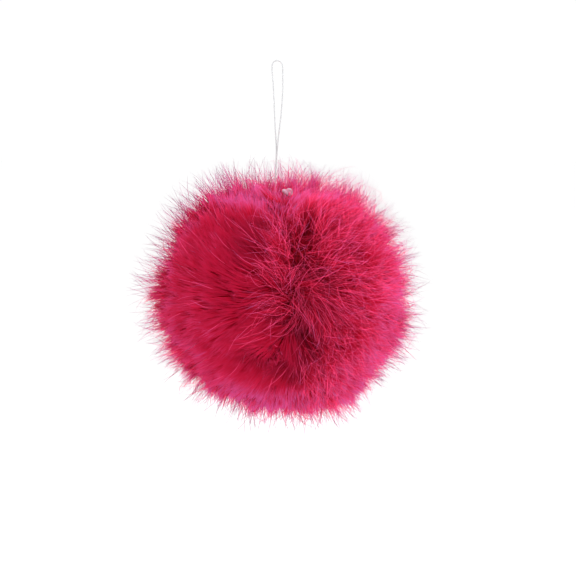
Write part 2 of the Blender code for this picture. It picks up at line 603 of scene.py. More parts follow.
# ---------------------------------------------------------------------------
# Meshes
# ---------------------------------------------------------------------------
def mesh_object(
    name: str,
    points: np.ndarray,
    faces: list[np.ndarray],
    uv: Optional[np.ndarray] = None,
    normals: Optional[np.ndarray] = None,
) -> bpy.types.Object:
    """Makes a smooth-shaded mesh object from arrays.

    Args:
        name: The object's name.
        points: Vertex places.
        faces: Arrays of vertex indices, one array for each number of sides.
        uv: A place on the bake map for each vertex.
        normals: A shading normal for each vertex.

    Returns:
        The object, linked to the scene.
    """
    mesh = bpy.data.meshes.new(name)
    mesh.vertices.add(len(points))
    mesh.vertices.foreach_set("co", points.astype(np.float32).ravel())
    corners = np.concatenate([part.ravel() for part in faces]).astype(np.int32)
    sides = np.concatenate([np.full(len(part), part.shape[1]) for part in faces])
    starts = np.concatenate(([0], np.cumsum(sides)[:-1])).astype(np.int32)
    mesh.loops.add(len(corners))
    mesh.loops.foreach_set("vertex_index", corners)
    mesh.polygons.add(len(sides))
    mesh.polygons.foreach_set("loop_start", starts)
    mesh.update(calc_edges=True)
    mesh.shade_smooth()
    if uv is not None:
        layer = mesh.uv_layers.new(name=BAKE_MAP)
        layer.uv.foreach_set("vector", uv[corners].astype(np.float32).ravel())
    if normals is not None:
        mesh.normals_split_custom_set_from_vertices(normals.tolist())
    item = bpy.data.objects.new(name, mesh)
    bpy.context.scene.collection.objects.link(item)
    return item


class HairSection(Enum):
    """How a hair is cut across: the number of lines of points along it."""

    RIBBON = 2
    ROUND = 3


@dataclass
class Strands:
    """A bundle of curved, tapered hairs."""

    roots: np.ndarray
    bends: np.ndarray
    ends: np.ndarray
    widths: np.ndarray
    shades: np.ndarray
    facing: np.ndarray
    softness: np.ndarray
    taper: float
    centre: np.ndarray
    step_crowding: float = 0.9

    def lines(self, steps: int) -> tuple[np.ndarray, np.ndarray, np.ndarray]:
        """Points and directions along each hair.

        Args:
            steps: How many stretches a hair is divided into.

        Returns:
            The points, the unit tangents and the share of the way of each ring.
        """
        along = np.linspace(0.0, 1.0, steps + 1) ** self.step_crowding
        share = along[None, :, None]
        root, bend, end = (part[:, None, :] for part in (self.roots, self.bends, self.ends))
        points = (1 - share) ** 2 * root + 2 * share * (1 - share) * bend + share ** 2 * end
        tangents = unit(2 * (1 - share) * (bend - root) + 2 * share * (end - bend))
        return points, tangents, along

    def mesh(self, name: str, section: HairSection, steps: int) -> bpy.types.Object:
        """Skins every hair and joins them all in one mesh.

        Args:
            name: The object's name.
            section: How a hair is cut across.
            steps: Stretches along a hair.

        Returns:
            The mesh object.
        """
        points, tangents, along = self.lines(steps)
        outward = unit(points - self.centre)
        soft = self.softness[:, None, None]
        side = unit(np.cross(tangents, unit(outward + self.facing[:, None, :])))
        front = unit(np.cross(side, tangents))
        lines = section.value
        narrowing = 1.0 - self.taper * along[:-1]
        radius = 0.5 * self.widths[:, None] * narrowing[None, :]
        turns = [math.pi * (0.5 + 2.0 * line / lines) for line in range(lines)]
        spokes = [
            math.cos(turn) * front[:, :-1] + math.sin(turn) * side[:, :-1] for turn in turns
        ]
        flat = (section is HairSection.RIBBON) * front[:, :-1]
        rings = np.stack([points[:, :-1] + radius[..., None] * spoke for spoke in spokes], axis=2)
        looks = np.stack(
            [soft * outward[:, :-1] + (1 - soft) * (spoke + flat) for spoke in spokes], axis=2
        )
        hairs = len(self.roots)
        sideways = np.linspace(-0.5, 0.5, lines) * HAIR_UV_WIDTH
        ring_u = self.shades[:, None, None] + sideways[None, None, :] + np.zeros((1, steps, 1))
        ring_v = np.broadcast_to(along[None, :-1, None], ring_u.shape)
        ring_uv = np.stack((ring_u, ring_v), axis=-1)
        per_hair = lines * steps + 1
        vertices = np.concatenate((rings.reshape(hairs, -1, 3), points[:, -1:]), axis=1)
        normals = unit(np.concatenate((looks.reshape(hairs, -1, 3), outward[:, -1:]), axis=1))
        tip_uv = np.stack((self.shades, np.ones(hairs)), axis=1)[:, None, :]
        uv = np.concatenate((ring_uv.reshape(hairs, -1, 2), tip_uv), axis=1)
        quads, caps = strip_faces(section, steps)
        offset = (np.arange(hairs) * per_hair)[:, None, None]
        return mesh_object(
            name,
            vertices.reshape(-1, 3),
            [(quads[None] + offset).reshape(-1, 4), (caps[None] + offset).reshape(-1, 3)],
            uv.reshape(-1, 2),
            normals.reshape(-1, 3),
        )


def strip_faces(section: HairSection, steps: int) -> tuple[np.ndarray, np.ndarray]:
    """Faces of one hair with its lines of points and one tip point.

    Args:
        section: How the hair is cut across, a flat ribbon or a closed skin.
        steps: Stretches along the hair, the last one ending in the tip.

    Returns:
        The four-sided faces and the three-sided ones at the tip.
    """
    lines = section.value
    pairs = [(line, (line + 1) % lines) for line in range(lines)]
    if section is HairSection.RIBBON:
        pairs = [(1, 0)]
    quads = [
        (ring * lines + a, ring * lines + b, (ring + 1) * lines + b, (ring + 1) * lines + a)
        for ring in range(steps - 1)
        for a, b in pairs
    ]
    last = (steps - 1) * lines
    caps = [(last + a, last + b, steps * lines) for a, b in pairs]
    return np.array(quads), np.array(caps)


# ---------------------------------------------------------------------------
# The ball's form, read from the frame
# ---------------------------------------------------------------------------
@dataclass(frozen=True)
class Swell:
    """A place where the fur stands fuller than round about, or less full."""

    azimuth: float
    elevation: float
    height: float
    spread: float

    def rise(self, ways: np.ndarray) -> np.ndarray:
        """How much further the hair reaches along unit vectors."""
        gap = np.degrees(angle_to(ways, direction(self.azimuth, self.elevation)))
        return self.height * bell(gap, self.spread)


@dataclass
class BallForm:
    """How far the usual hair tips reach in each direction from the centre."""

    centre: np.ndarray
    reach_grid: np.ndarray
    swells: tuple = (
        Swell(0, 90, -1.0 * MM, 45),
        Swell(0, -90, 0.9 * MM, 40),
        Swell(90, 20, -0.9 * MM, 32),
        Swell(90, 48, -2.0 * MM, 13),
        Swell(90, 75, -5.0 * MM, 10),
        Swell(52, 72, -2.0 * MM, 11),
        Swell(128, 72, -2.0 * MM, 11),
        Swell(90, 12, -1.0 * MM, 9),
        Swell(-90, 60, -1.6 * MM, 9),
        Swell(-20, 82, 2.6 * MM, 6),
        Swell(-90, -15, 1.2 * MM, 9),
        Swell(-90, -45, 1.0 * MM, 9),
        Swell(90, -60, 1.0 * MM, 8),
        Swell(90, -44, -4.9 * MM, 9),
        Swell(90, -76, 1.2 * MM, 8),
        Swell(-90, -76, 1.2 * MM, 8),
    )

    @classmethod
    def from_node(cls, node: str, columns: int = 240, rows: int = 121) -> "BallForm":
        """Measures a ball-shaped node with rays from the middle of its box.

        Args:
            node: The node's name.
            columns: Directions round the ball.
            rows: Directions from bottom to top.

        Returns:
            The measured form.
        """
        low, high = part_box(node)
        centre = (low + high) / 2
        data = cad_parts[node].data
        places = [vertex.co for vertex in data.vertices]
        tree = BVHTree.FromPolygons(places, [tuple(face.vertices) for face in data.polygons])
        grid = np.empty((rows, columns))
        for row in range(rows):
            for column in range(columns):
                way = direction(360.0 * column / columns, -90.0 + 180.0 * row / (rows - 1))
                grid[row, column] = tree.ray_cast(centre, Vector(way))[3]
        return cls(np.array(centre), grid)

    def reach(self, ways: np.ndarray) -> np.ndarray:
        """Reads how far the usual hair tips stand out.

        Args:
            ways: Unit vectors from the ball's centre.

        Returns:
            The distance from the centre to the tips along each.
        """
        grid = self.reach_grid
        rows, columns = grid.shape
        turn = np.degrees(np.arctan2(ways[:, 0], -ways[:, 1])) % 360.0 / 360.0 * columns
        climb = (np.degrees(np.arcsin(np.clip(ways[:, 2], -1, 1))) + 90.0) / 180.0 * (rows - 1)
        left = np.floor(turn).astype(int)
        low = np.minimum(np.floor(climb).astype(int), rows - 2)
        turn_share = turn - left
        climb_share = climb - low
        left, right = left % columns, (left + 1) % columns
        lower = grid[low, left] * (1 - turn_share) + grid[low, right] * turn_share
        upper = grid[low + 1, left] * (1 - turn_share) + grid[low + 1, right] * turn_share
        usual = lower * (1 - climb_share) + upper * climb_share
        return usual + sum(swell.rise(ways) for swell in self.swells)


@dataclass
class Parting:
    """The gap in the fur where the thread and the knot come out.

    Its floor runs forward from each of them, rising a little, so that both
    show from the front.
    """

    centre: np.ndarray
    feet: tuple = ((-0.74, 0.36, -34.8), (3.1, -0.6, -42.3))
    half_widths: tuple = (0.4, 1.4)
    floor_rise: float = 8.0
    bank: float = 8.0
    back: float = 0.4 * MM
    back_bank: float = 14.0
    front_end: tuple = (2.0, 66.0)
    steepest: float = 1e-3
    open_above: float = 0.5

    def places(self) -> np.ndarray:
        """The feet of the thread and the knot, from the ball's centre."""
        return np.array(self.feet) * MM - self.centre

    def line(self) -> np.ndarray:
        """Unit vectors along the parting, from the knot to its front end."""
        return np.array((unit(self.places())[1], direction(*self.front_end)))

    def limit(self, ways: np.ndarray) -> np.ndarray:
        """Finds how far hair may reach without covering the thread and the knot.

        Args:
            ways: Unit vectors from the ball's centre.

        Returns:
            The most it may reach along each, without end where it is free.
        """
        rise = math.radians(self.floor_rise)
        floor_up = np.array((0.0, math.sin(rise), math.cos(rise)))
        steep = np.maximum(ways @ floor_up, self.steepest)
        most = np.full(len(ways), np.inf)
        for foot, half_width in zip(self.places(), self.half_widths):
            level = foot @ floor_up
            reached = ways * (level / steep)[:, None]
            beside = np.maximum(np.abs(reached[:, 0] - foot[0]) - half_width * MM, 0.0)
            behind = np.maximum(reached[:, 1] - foot[1] - self.back, 0.0)
            allowed = (level + self.bank * beside + self.back_bank * behind) / steep
            allowed[ways @ floor_up < self.open_above] = np.inf
            most = np.minimum(most, allowed)
        return most


# ---------------------------------------------------------------------------
# How the fur is combed
# ---------------------------------------------------------------------------
def line_of(stations: tuple) -> np.ndarray:
    """Unit vectors along a line of azimuths and elevations."""
    return np.array([direction(*station) for station in stations])


def from_line(ways: np.ndarray, line: np.ndarray) -> tuple[np.ndarray, np.ndarray]:
    """How far and which way directions lie from a line of directions.

    Args:
        ways: Unit vectors.
        line: Unit vectors along the line.

    Returns:
        The distance of each in degrees, and the unit vector in the surface
        that leads away from the line.
    """
    best = np.full(len(ways), np.inf)
    spot = np.zeros_like(ways)
    for start, end in zip(line, line[1:]):
        run = end - start
        share = np.clip((ways - start) @ run / (run @ run), 0.0, 1.0)[:, None]
        near = unit(start + run * share)
        gap = angle_to(ways, near)
        closer = gap < best
        best[closer] = gap[closer]
        spot[closer] = near[closer]
    return np.degrees(best), unit(across(ways - spot, ways))


@dataclass(frozen=True)
class ShadeLine:
    """A line over the ball along which painted shade darkens the hair, or painted light lightens it
    if its depth is below 0.
    """

    stations: tuple
    depth: float
    spread: float

    def nearness(self, ways: np.ndarray) -> np.ndarray:
        """How near unit vectors lie: 1 on the line, and softly less away from it."""
        gap, _ = from_line(ways, line_of(self.stations))
        return bell(gap, self.spread)


@dataclass
class Nap:
    """Which way the hair is combed, how tidy it lies, and where painted shade and painted rim light
    darken or lighten it.
    """

    parting: Parting
    # Which way it is combed: away from two crowns, the furrow and the parting,
    # and upwards at the upper left.
    left_crown: tuple = (8, -5)
    right_crown: tuple = (9, 15)
    crown_blend: float = 0.10
    furrow: tuple = ((13, 38), (12, 24), (9, 10))
    furrow_spread: float = 22.0
    sweep_spread: float = 68.0
    sweep_start: float = 26.0
    parting_sweep: float = 0.40
    parting_spread: float = 9.0
    swirl: float = 0.24
    swirl_waves: Ripple = Ripple(5, 3.2, 3)
    mess: float = 1.1
    mess_spread: float = 26.0
    mess_waves: Ripple = Ripple(6, 16.0, 3)
    lift: float = 0.5
    lift_side: tuple = (0.1, -0.5)
    lift_height: tuple = (-0.2, 0.4)
    droop: float = 0.05
    # How untidy it lies, at the front and behind.
    front_zone: tuple = (-0.2, -0.6)
    front_mess: Growth = Growth(0.10, 0.85)
    unruly_spread: float = 18.0
    right_zone: tuple = (-0.05, 0.40)
    right_share: float = 0.8
    back_mess: Growth = Growth(0.65, 0.3)
    back_waves: Ripple = Ripple(9, 2.6)
    least_unruly: float = 0.05
    # Painted shade along the furrow and other lines, and painted rim light that lightens and pinks
    # the tips at the rim, the top and the far side.
    hollow_line: ShadeLine = ShadeLine(((19, 44), (15, 34), (9, 25)), 0.38, 2.7)
    shade_lines: tuple = (
        ShadeLine(((13, 16), (16, 3), (13, -13), (8, -32)), 0.30, 10.0),
        ShadeLine(((15, 4), (18, -8)), 0.20, 6.0),
        ShadeLine(((2, 58), (3, 42), (4, 28)), -0.24, 6.0),
        ShadeLine(((-14, 10), (-4, 12)), -0.10, 7.0),
        ShadeLine(((2, -10), (-3, -22)), -0.15, 7.0),
        ShadeLine(((-28, 22), (-10, 32)), 0.07, 10.0),
        ShadeLine(((-22, 42), (-32, 48)), 0.10, 8.0),
        ShadeLine(((34, -15), (39, -23)), 0.14, 8.0),
        ShadeLine(((31, 18), (37, 23)), -0.12, 6.0),
        ShadeLine(((-58, -22), (-24, -44)), -0.05, 13.0),
    )
    least_lit: tuple = (-35, 22)
    lit_rim_gap: tuple = (52.0, 92.0)
    lit_top: tuple = (0.68, 0.86)
    lit_side: Growth = Growth(0.56, 0.54)
    back_zone: tuple = (0.25, 0.80)
    back_fade: float = 0.7

    def from_crown(self, ways: np.ndarray) -> tuple[np.ndarray, np.ndarray]:
        """How far and which way directions lie from the crown of their side.

        Args:
            ways: Unit vectors.

        Returns:
            The distance of each in degrees, and the unit vector in the
            surface that leads away from the crown.
        """
        left, right = direction(*self.left_crown), direction(*self.right_crown)
        edges = (left[0] - self.crown_blend, left[0] + self.crown_blend)
        side = smooth_step(*edges, ways[:, :1])
        crown = unit(left * (1 - side) + right * side)
        return np.degrees(angle_to(ways, crown)), unit(across(ways - crown, ways))

    def lean(self, ways: np.ndarray) -> np.ndarray:
        """Finds how far the combed hair leans over.

        Args:
            ways: Unit vectors from the ball's centre.

        Returns:
            The lean at each, as vectors in the surface.
        """
        gap, away = self.from_crown(ways)
        line_gap, line_away = from_line(ways, line_of(self.furrow))
        away = unit(away + bell(line_gap, self.furrow_spread)[:, None] * line_away)
        sweep = smooth_step(0.0, self.sweep_start, gap) * bell(gap, self.sweep_spread)
        top_gap, top_away = from_line(ways, self.parting.line())
        top = self.parting_sweep * bell(top_gap, self.parting_spread)
        swirl = across(self.swirl_waves(ways), ways) * self.swirl
        tousled = self.mess * bell(np.minimum(gap, line_gap), self.mess_spread)
        swirl += across(self.mess_waves(ways), ways) * tousled[:, None]
        rising = self.lift * smooth_step(*self.lift_side, ways[:, 0])
        rising = rising * smooth_step(*self.lift_height, ways[:, 2])
        upward = across(np.broadcast_to(UP, ways.shape), ways) * (rising - self.droop)[:, None]
        return sweep[:, None] * away + top[:, None] * top_away + swirl + upward

    def brushed(self, ways: np.ndarray) -> np.ndarray:
        """How flat the hair is brushed: 1 at the front, 0 at the sides and back."""
        return smooth_step(*self.front_zone, ways[:, 1])

    def unruly(self, ways: np.ndarray) -> np.ndarray:
        """Finds how untidy the hair is, most of all at the furrow, the right and the back.

        Args:
            ways: Unit vectors from the ball's centre.

        Returns:
            From 0, velvety, to 1, tousled.
        """
        gap, _ = from_line(ways, line_of(self.furrow))
        near = bell(gap, self.unruly_spread)
        to_right = smooth_step(*self.right_zone, ways[:, 0])
        back = self.back_mess.at(self.back_waves(ways)[:, 0])
        front = self.front_mess.at(np.maximum(near, self.right_share * to_right))
        share = self.brushed(ways)
        return np.clip(share * front + (1 - share) * back, self.least_unruly, 1.0)

    def shadow(self, ways: np.ndarray) -> np.ndarray:
        """How much painted shade darkens the hair along the furrow and the lines beside it; where a
        line's depth is below 0, painted light lightens it instead.
        """
        lines = (self.hollow_line, *self.shade_lines)
        return sum(line.depth * line.nearness(ways) for line in lines)

    def painted_rim_light(self, ways: np.ndarray) -> np.ndarray:
        """Finds how much painted rim light lightens and pinks the hair.

        Args:
            ways: Unit vectors from the ball's centre.

        Returns:
            0 at the least lit left front, 1 at the rim, the top and the far side.
        """
        gap = np.degrees(angle_to(ways, direction(*self.least_lit)))
        behind = smooth_step(*self.back_zone, ways[:, 1])
        far = smooth_step(*self.lit_rim_gap, gap) * (1.0 - self.back_fade * behind)
        top = smooth_step(*self.lit_top, ways[:, 2])
        side = (1.0 - self.brushed(ways)) * self.lit_side.at(far)
        return np.maximum(side, np.maximum(far, top))


# ---------------------------------------------------------------------------
# The coats of hair
# ---------------------------------------------------------------------------
@dataclass(frozen=True)
class Tufts:
    """A set of tufts or locks that each lean, reach and are shaded in their own way."""

    count: int
    seed: int
    lean: float
    reach: float
    shade: float
    jitter: float = 0.35

    def draw(self) -> tuple[np.ndarray, np.ndarray, np.ndarray, np.ndarray]:
        """Draws the tufts.

        Returns:
            Their directions, leans, reach offsets and shade offsets.
        """
        rng = np.random.default_rng(self.seed)
        ways = even_directions(self.count, rng, self.jitter)
        lean = across(rng.normal(0.0, self.lean, ways.shape), ways)
        reach = rng.normal(0.0, self.reach, self.count)
        shade = rng.normal(0.0, self.shade, self.count)
        return ways, lean, reach, shade


@dataclass(frozen=True)
class OuterTufts:
    """The pointed tufts that stand round the ball's outside, each long from front to back."""

    count: int = 42
    seed: int = 73
    rise: float = 2.6 * MM
    uneven: float = 0.3
    lowest: float = 0.35
    middle: float = 0.25
    half_depth: tuple = (0.22, 0.44)

    def rise_at(self, ways: np.ndarray) -> np.ndarray:
        """How much further the hair reaches, highest at each tuft's point.

        Args:
            ways: Unit vectors from the ball's centre.

        Returns:
            The extra reach in metres, below zero between the tufts.
        """
        rng = np.random.default_rng(self.seed)
        step = 2.0 * math.pi / self.count
        offsets = rng.uniform(-self.uneven, self.uneven, self.count)
        points = (np.arange(self.count) + offsets) * step
        heights = rng.uniform(self.lowest, 1.0, self.count)
        around = np.arctan2(ways[:, 2], ways[:, 0])
        away = np.abs(np.angle(np.exp(1j * (around[:, None] - points))))
        closest = np.argmin(away, axis=1)
        slope = 1.0 - away[np.arange(len(ways)), closest] / (0.5 * step)
        depth = 1.0 - smooth_step(*self.half_depth, np.abs(ways[:, 1]))
        return self.rise * depth * (heights[closest] * slope - self.middle)


@dataclass(frozen=True)
class Looseness:
    """How each trait of the hair changes from tidy fur to untidy or tufted fur."""

    tuft_lean: Growth = Growth(0.3, 0.8)
    tuft_reach: Growth = Growth(0.12, 0.98)
    tuft_shade: Growth = Growth(0.3)
    lock_lean: Growth = Growth(0.3)
    lock_reach: Growth = Growth(0.06, 0.98)
    lock_shade: Growth = Growth(0.2)
    lock_peak: Growth = Growth(0.04, 0.96)
    gather: Growth = Growth(0.08, 0.92)
    stray: Growth = Growth(0.45, 1.35)
    curl: Growth = Growth(0.5)
    shade_spread: Growth = Growth(0.3, 1.2)
    width: Growth = Growth(1.6, -0.9)
    hardness: Growth = Growth(0.05, 0.95)


@dataclass
class Locks:
    """The locks of a coat and the tufts they belong to, as their middle hairs."""

    ways: np.ndarray
    tuft: np.ndarray
    tuft_lean: np.ndarray
    tuft_reach: np.ndarray
    tuft_shade: np.ndarray
    lean: np.ndarray
    reach: np.ndarray
    shade: np.ndarray
    fall: np.ndarray
    ends: np.ndarray


@dataclass
class HairCoat:
    """One coat of hair over the whole ball."""

    name: str
    finish: HairFinish
    count: int
    seed: int
    root_share: float
    tip_share: float
    tip_spread: float
    width: float
    section: HairSection = HairSection.RIBBON
    steps: int = 4
    # Where the roots stand, and where there are fewer of them.
    root_jitter: float = 0.5
    root_clearance: float = 1.0 * MM
    choices: int = 4
    crowding: int = 3
    tidy_share: float = 1.0
    front_share: float = 1.0
    front_zone: tuple = (0.16, -0.18)
    back_share: float = 1.0
    back_zone: tuple = (0.30, 0.75)
    parted: float = 0.9
    # Which course a hair takes, and how far it reaches.
    lean: float = 1.0
    stray: float = 0.10
    bend: float = 0.45
    early_lean: float = 0.25
    curl: float = 0.05
    extra_reach: float = 0.0
    tidy_rise: float = 0.0
    calm: float = 0.6
    shortest: float = 0.8 * MM
    longest: float = 9.0 * MM
    veil: float = 0.25
    fitting_rounds: int = 3
    # How the hairs gather in locks, and the locks in tufts.
    gather: float = 0.6
    least_gather: float = 0.7
    tuft_pull: float = 0.6
    tuft_peak: float = 8.0 * MM
    tuft_middle: float = 0.24
    lock_peak: float = 4.0 * MM
    tufts: Tufts = Tufts(1000, 71, 0.20, 2.0 * MM, 0.06)
    locks: Tufts = Tufts(3000, 72, 0.15, 1.2 * MM, 0.05)
    outer_tufts: OuterTufts = OuterTufts()
    outer_tufting: float = 0.6
    outer_zone: tuple = (-0.28, -0.05)
    loose: Looseness = Looseness()
    # How light or dark a hair is: its own tone at random, and how much painted rim light it takes.
    shade: float = 0.5
    shade_spread: float = 0.08
    shade_limits: tuple = (0.02, 0.98)
    unruly_shade: float = 0.12
    # How much painted rim light lifts the shade at the rim, the top and the far side.
    rim_light_lift: float = 0.25
    patches: Ripple = Ripple(31, 3.0)
    patch_shade: float = 0.05
    # What a hair's own strip is like.
    width_range: tuple = (0.7, 1.3)
    facing_spread: float = 0.35
    softness: float = 0.7
    taper: float = 0.8

    def ends_of(
        self, form: BallForm, nap: Nap, ways: np.ndarray, lean: np.ndarray, shift: np.ndarray
    ) -> tuple[np.ndarray, np.ndarray]:
        """Roots and tips of hairs that leave the pelt with a given lean.

        Args:
            form: The ball's form.
            nap: How the hair is combed.
            ways: Unit vectors to the roots.
            lean: How far each hair leans over.
            shift: How much further than usual each tip reaches.

        Returns:
            The roots and the tips, from the ball's centre.
        """
        free = nap.parting.limit(ways) - self.root_clearance
        root_distance = np.minimum(form.reach(ways) * self.root_share, free)
        roots = ways * root_distance[:, None]
        aim = unit(ways + lean)
        rise = root_distance * np.sum(ways * aim, axis=1)
        heading = ways
        for _ in range(self.fitting_rounds):
            goal = form.reach(heading) * self.tip_share + self.extra_reach + shift
            goal = np.minimum(goal, nap.parting.limit(heading) + self.veil * shift)
            goal = np.minimum(goal, form.reach(heading) + self.longest)
            goal = np.maximum(goal, root_distance + self.shortest)
            length = -rise + np.sqrt(rise ** 2 + goal ** 2 - root_distance ** 2)
            tips = roots + aim * length[:, None]
            heading = unit(tips)
        return roots, tips

    def root_ways(self, nap: Nap, rng: np.random.Generator) -> np.ndarray:
        """Directions of the hair roots, fewer where the fur lies tidy or flat.

        Args:
            nap: How the hair is combed.
            rng: Where the choice comes from.

        Returns:
            As many unit vectors as the coat has hairs.
        """
        if self.tidy_share == 1.0 and self.front_share == 1.0:
            return even_directions(self.count, rng, self.root_jitter)
        ways = even_directions(self.choices * self.count, rng, self.root_jitter)
        to_front = smooth_step(*self.front_zone, ways[:, 1])
        to_back = smooth_step(*self.back_zone, ways[:, 1])
        chance = self.tidy_share + (1.0 - self.tidy_share) * nap.unruly(ways) ** self.crowding
        chance *= 1.0 - (1.0 - self.front_share) * to_front
        chance *= 1.0 - (1.0 - self.back_share) * to_back
        chance *= 1.0 - self.parted * nap.hollow_line.nearness(ways)
        kept = rng.choice(len(ways), self.count, replace=False, p=chance / chance.sum())
        return ways[np.sort(kept)]

    def tufted(self, nap: Nap, ways: np.ndarray) -> np.ndarray:
        """How far the hair stands in pointed tufts, more where untidy and round the outside.

        Args:
            nap: How the hair is combed.
            ways: Unit vectors from the ball's centre.

        Returns:
            0 for flat and 1 for full tufts, one for each vector.
        """
        outside = self.outer_tufting * smooth_step(*self.outer_zone, ways[:, 1])
        return np.maximum(nap.unruly(ways), outside)

    def grow_locks(self, form: BallForm, nap: Nap) -> Locks:
        """Grows the middle hairs of the locks, which the other hairs gather to.

        Args:
            form: The ball's form.
            nap: How the hair is combed.

        Returns:
            The locks.
        """
        tuft_ways, tuft_lean, tuft_reach, tuft_shade = self.tufts.draw()
        ways, lean, reach, shade = self.locks.draw()
        tuft = nearest(ways, tuft_ways)

        unruly = nap.unruly(tuft_ways)
        tuft_lean = tuft_lean * self.loose.tuft_lean.at(unruly[:, None])
        tuft_reach = tuft_reach * self.loose.tuft_reach.at(self.tufted(nap, tuft_ways))
        full_lean = nap.lean(tuft_ways) * self.lean + tuft_lean
        rise = self.tidy_rise * (1.0 - unruly)
        _, tuft_ends = self.ends_of(form, nap, tuft_ways, full_lean, tuft_reach + rise)

        unruly = nap.unruly(ways)
        off_tuft = angle_to(ways, tuft_ways[tuft]) / spacing_of(self.tufts.count)
        peak = self.tuft_middle - off_tuft ** 2
        fall = self.tuft_peak * self.tufted(nap, ways) * peak
        rise = self.tidy_rise * (1.0 - unruly) + tuft_reach[tuft] + reach + fall
        rise += self.outer_tufts.rise_at(ways)
        own_lean = lean * self.loose.lock_lean.at(unruly[:, None])
        full_lean = nap.lean(ways) * self.lean + tuft_lean[tuft] + own_lean
        _, ends = self.ends_of(form, nap, ways, full_lean, rise)
        ends = ends + (tuft_ends[tuft] - ends) * (self.gather * self.tuft_pull)
        return Locks(ways, tuft, tuft_lean, tuft_reach, tuft_shade, lean, reach, shade, fall, ends)

    def strands(self, form: BallForm, nap: Nap) -> Strands:
        """Grows the coat's hairs.

        Args:
            form: The ball's form.
            nap: How the hair is combed.

        Returns:
            The hairs.
        """
        rng = np.random.default_rng(self.seed)
        loose = self.loose
        ways = self.root_ways(nap, rng)
        unruly = nap.unruly(ways)
        untidy = unruly[:, None]
        tufted = self.tufted(nap, ways)
        locks = self.grow_locks(form, nap)
        lock = nearest(ways, locks.ways)
        tuft = locks.tuft[lock]

        stray = across(rng.normal(0.0, self.stray, ways.shape), ways) * loose.stray.at(untidy ** 2)
        lock_lean = locks.lean[lock] * loose.lock_lean.at(untidy)
        lean = nap.lean(ways) * self.lean + locks.tuft_lean[tuft] + lock_lean + stray
        off_lock = angle_to(ways, locks.ways[lock]) / spacing_of(self.locks.count)
        shift = (
            locks.tuft_reach[tuft]
            + locks.reach[lock] * loose.lock_reach.at(tufted)
            + rng.normal(0.0, self.tip_spread, self.count) * (1.0 - self.calm * (1.0 - unruly))
            + locks.fall[lock]
            - self.lock_peak * loose.lock_peak.at(tufted) * off_lock ** 2
            + self.tidy_rise * (1.0 - unruly)
            + self.outer_tufts.rise_at(ways)
        )
        roots, ends = self.ends_of(form, nap, ways, lean, shift)
        pull = self.gather * rng.uniform(self.least_gather, 1.0, (self.count, 1))
        pull = pull * loose.gather.at(tufted[:, None])
        ends = ends + (locks.ends[lock] - ends) * pull
        length = np.linalg.norm(ends - roots, axis=1)[:, None]
        bends = roots + unit(ways + self.early_lean * lean) * length * self.bend
        bends += rng.normal(0.0, self.curl, ways.shape) * length * loose.curl.at(untidy)
        shades = (
            self.shade
            + self.unruly_shade * (unruly - 0.5)
            + locks.tuft_shade[tuft] * loose.tuft_shade.at(unruly)
            + locks.shade[lock] * loose.lock_shade.at(unruly)
            + rng.normal(0.0, self.shade_spread, self.count) * loose.shade_spread.at(unruly)
            # painted rim light at the rim, the top and the far side
            + self.rim_light_lift * nap.painted_rim_light(ways)
            # painted shade along the furrow and the lines beside it, painted light where a depth is
            # below 0
            - nap.shadow(ways)
            + self.patch_shade * self.patches(ways)[:, 0]
        )
        widths = self.width * rng.uniform(*self.width_range, self.count)
        return Strands(
            roots=form.centre + roots,
            bends=form.centre + bends,
            ends=form.centre + ends,
            widths=widths * loose.width.at(unruly),
            shades=np.clip(shades, *self.shade_limits),
            facing=across(rng.normal(0.0, self.facing_spread, ways.shape), ways),
            softness=1.0 - (1.0 - self.softness) * loose.hardness.at(unruly),
            taper=self.taper,
            centre=form.centre,
        )

    def build(self, form: BallForm, nap: Nap, tint: bpy.types.NodeTree) -> bpy.types.Object:
        """Grows, skins and dyes the coat.

        Args:
            form: The ball's form.
            nap: How the hair is combed.
            tint: The hair tint group.

        Returns:
            The coat's object.
        """
        coat = self.strands(form, nap).mesh(self.name, self.section, self.steps)
        coat.data.materials.append(self.finish.make(tint))
        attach(coat, "root")
        return coat


@dataclass
class Pelt:
    """The dense felt of hair roots that the coats stand on."""

    share: float = 0.80
    detail: int = 6
    ripple: float = 0.5 * MM
    waves: Ripple = Ripple(3, 26.0)
    clearance: float = 0.5 * MM

    def build(self, form: BallForm, nap: Nap, finish: PeltFinish) -> bpy.types.Object:
        """Builds the pelt and puts it in the place of the plain ball.

        Args:
            form: The ball's form.
            nap: How the hair is combed.
            finish: The pelt's finish.

        Returns:
            The pelt's object.
        """
        bpy.ops.mesh.primitive_ico_sphere_add(subdivisions=self.detail, radius=1.0)
        pelt = bpy.context.object
        pelt.name = pelt.data.name = "fur_pelt"
        count = len(pelt.data.vertices)
        ways = np.empty(count * 3)
        pelt.data.vertices.foreach_get("co", ways)
        ways = unit(ways.reshape(-1, 3))
        distance = form.reach(ways) * self.share + self.ripple * self.waves(ways)[:, 0]
        distance = np.minimum(distance, nap.parting.limit(ways) - self.clearance)
        places = form.centre + ways * distance[:, None]
        pelt.data.vertices.foreach_set("co", places.ravel())
        pelt.data.update()
        pelt.data.shade_smooth()
        pelt.data.materials.append(finish.make())
        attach(pelt, "root")
        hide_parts("fur_ball")
        return pelt


